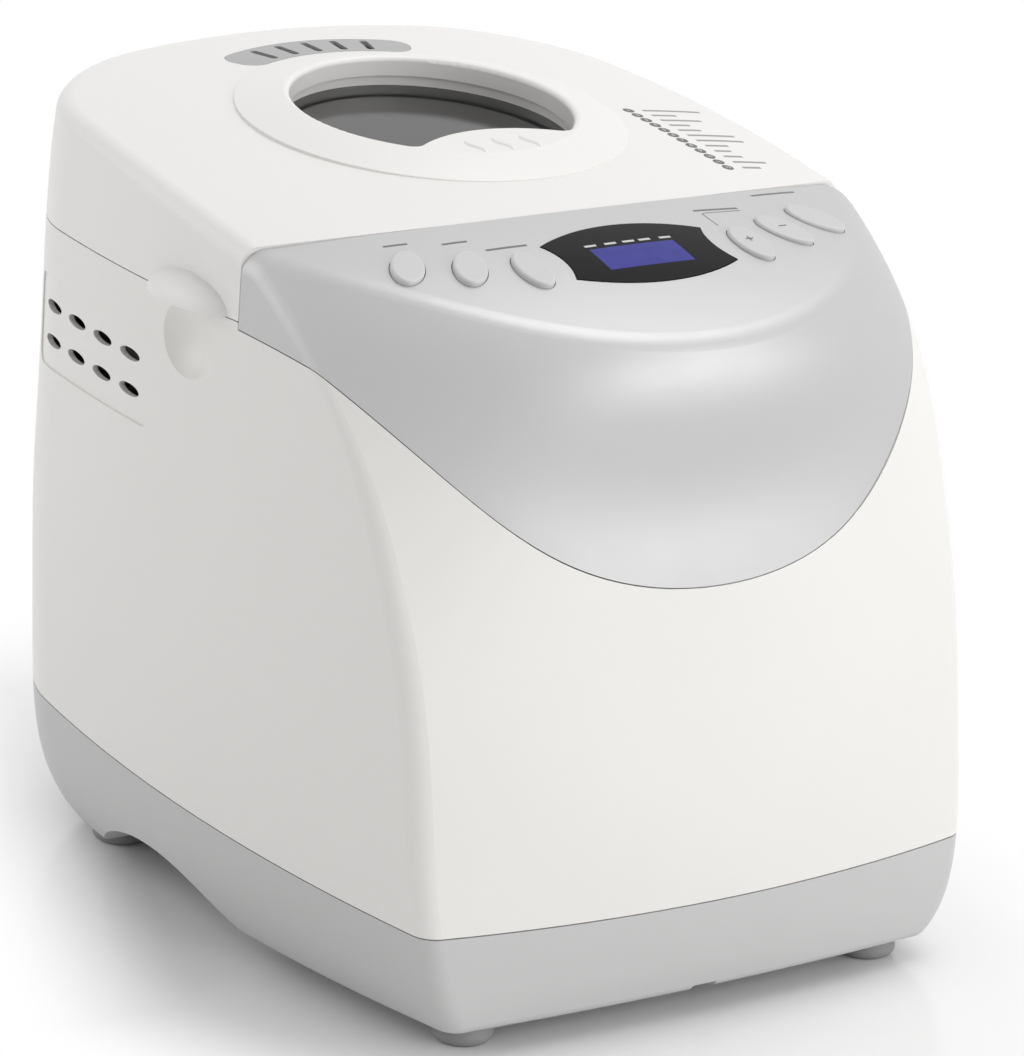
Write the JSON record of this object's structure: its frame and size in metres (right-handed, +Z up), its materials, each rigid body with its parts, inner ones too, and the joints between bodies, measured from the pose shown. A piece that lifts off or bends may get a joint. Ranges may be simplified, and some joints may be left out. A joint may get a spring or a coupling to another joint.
{
  "type": "bread machine",
  "caption": "Countertop bread machine: rounded white body, hinged lid with round window, sloping control deck with buttons and display, lift-out pan and belt-driven kneading paddle.",
  "frame": {"origin": "on the table under the middle of the machine's bounding box", "axes": "+Z up, front with the controls towards -Y, +X to the right of a user who faces the controls"},
  "size_m": [0.295, 0.362, 0.3127],
  "materials": {
    "housing_white": "satin moulded plastic",
    "fascia_grey": "satin moulded plastic",
    "base_grey": "satin moulded plastic",
    "button_grey": "smooth moulded caps",
    "lens_black": "polished, printed black from behind",
    "lcd_blue": "backlit liquid crystal panel",
    "board_green": "solder mask",
    "switch_black": "moulded",
    "window_glass": "tinted toughened glass",
    "bright_steel": "zinc plated or drawn",
    "sheet_metal": "galvanised sheet",
    "liner_metal": "rolled sheet",
    "heater_steel": "sheathed element, heat darkened",
    "pan_coating": "pressed, non-stick coated",
    "cast_metal": "die cast",
    "bush_brass": "sintered",
    "rubber_grey": "moulded",
    "rubber_black": "moulded",
    "nylon_black": "moulded",
    "motor_black": "painted can"
  },
  "bodies": {
    "cabinet": {"base_tray": "base_grey", "cord_gland": "nylon_black", "foot_front_left": "rubber_grey", "foot_front_right": "rubber_grey", "foot_rear_left": "rubber_grey", "foot_rear_right": "rubber_grey", "outer_housing": "housing_white", "hinge_pin_right": "bright_steel", "hinge_pin_left": "bright_steel", "control_fascia": "fascia_grey", "display_lens": "lens_black", "control_board": "board_green", "lcd_module": "lcd_blue", "board_screws": "bright_steel", "tact_switches": "switch_black", "chassis_plate": "sheet_metal", "chassis_screws": "bright_steel", "chamber_standoffs": "sheet_metal", "oven_chamber": "sheet_metal", "top_frame": "nylon_black", "heater_element": "heater_steel", "heater_clips": "sheet_metal", "temperature_sensor": "bright_steel", "pan_socket": "cast_metal", "chassis_bush": "bush_brass", "drive_belt": "rubber_black", "motor": "motor_black", "power_board": "board_green", "motor_capacitor": "liner_metal"},
    "lid": {"lid_cover": "housing_white", "steam_vent": "base_grey", "lid_window": "window_glass", "lid_liner": "liner_metal", "lid_seal": "rubber_black", "liner_screws": "bright_steel"},
    "pan": {"bread_pan": "pan_coating", "pan_bush": "bush_brass"},
    "bail": {"bail_handle": "bright_steel"},
    "paddle": {"kneading_paddle": "pan_coating", "pan_shaft": "bright_steel", "pan_coupler": "cast_metal"},
    "drive": {"drive_shaft": "bright_steel", "drive_coupler": "cast_metal", "driven_pulley": "nylon_black"},
    "rotor": {"motor_shaft": "bright_steel", "motor_pulley": "cast_metal"},
    "menu": {"menu_button": "button_grey"},
    "crust": {"crust_button": "button_grey"},
    "loaf": {"loaf_button": "button_grey"},
    "time_down": {"time_down_button": "button_grey"},
    "time_up": {"time_up_button": "button_grey"},
    "start": {"start_button": "button_grey"}
  },
  "joints": [
    {"name": "lid_hinge", "type": "hinge", "parent": "cabinet", "child": "lid", "pos_m": [0, 0.175, 0.253], "axis": [-1, 0, 0], "range_deg": [0, 85]},
    {"name": "pan_lift", "type": "slide", "parent": "cabinet", "child": "pan", "axis": [0, 0, 1], "range_m": [0, 0.02]},
    {"name": "bail_swing", "type": "hinge", "parent": "pan", "child": "bail", "pos_m": [0, 0.041, 0.21], "axis": [-1, 0, 0], "range_deg": [0, 14]},
    {"name": "drive_spin", "type": "hinge", "parent": "cabinet", "child": "drive", "pos_m": [0, 0.041, 0.06], "axis": [0, 0, 1], "continuous": true},
    {"name": "motor_spin", "type": "hinge", "parent": "cabinet", "child": "rotor", "pos_m": [-0.045, -0.112, 0.06], "axis": [0, 0, 1], "continuous": true},
    {"name": "paddle_spin", "type": "hinge", "parent": "pan", "child": "paddle", "pos_m": [0, 0.041, 0.1], "axis": [0, 0, 1], "continuous": true},
    {"name": "menu_press", "type": "slide", "parent": "cabinet", "child": "menu", "axis": [0, 0.2551, -0.9669], "range_m": [0, 0.0012], "stiffness_N_per_m": 500},
    {"name": "crust_press", "type": "slide", "parent": "cabinet", "child": "crust", "axis": [0, 0.2551, -0.9669], "range_m": [0, 0.0012], "stiffness_N_per_m": 500},
    {"name": "loaf_press", "type": "slide", "parent": "cabinet", "child": "loaf", "axis": [0, 0.2551, -0.9669], "range_m": [0, 0.0012], "stiffness_N_per_m": 500},
    {"name": "time_down_press", "type": "slide", "parent": "cabinet", "child": "time_down", "axis": [0, 0.2551, -0.9669], "range_m": [0, 0.0012], "stiffness_N_per_m": 500},
    {"name": "time_up_press", "type": "slide", "parent": "cabinet", "child": "time_up", "axis": [0, 0.2551, -0.9669], "range_m": [0, 0.0012], "stiffness_N_per_m": 500},
    {"name": "start_press", "type": "slide", "parent": "cabinet", "child": "start", "axis": [0, 0.2551, -0.9669], "range_m": [0, 0.0012], "stiffness_N_per_m": 500}
  ],
  "couplings": [
    {"joint": "motor_spin", "follows": "drive_spin", "ratio": 5.3333},
    {"joint": "paddle_spin", "follows": "drive_spin", "ratio": 1}
  ]
}
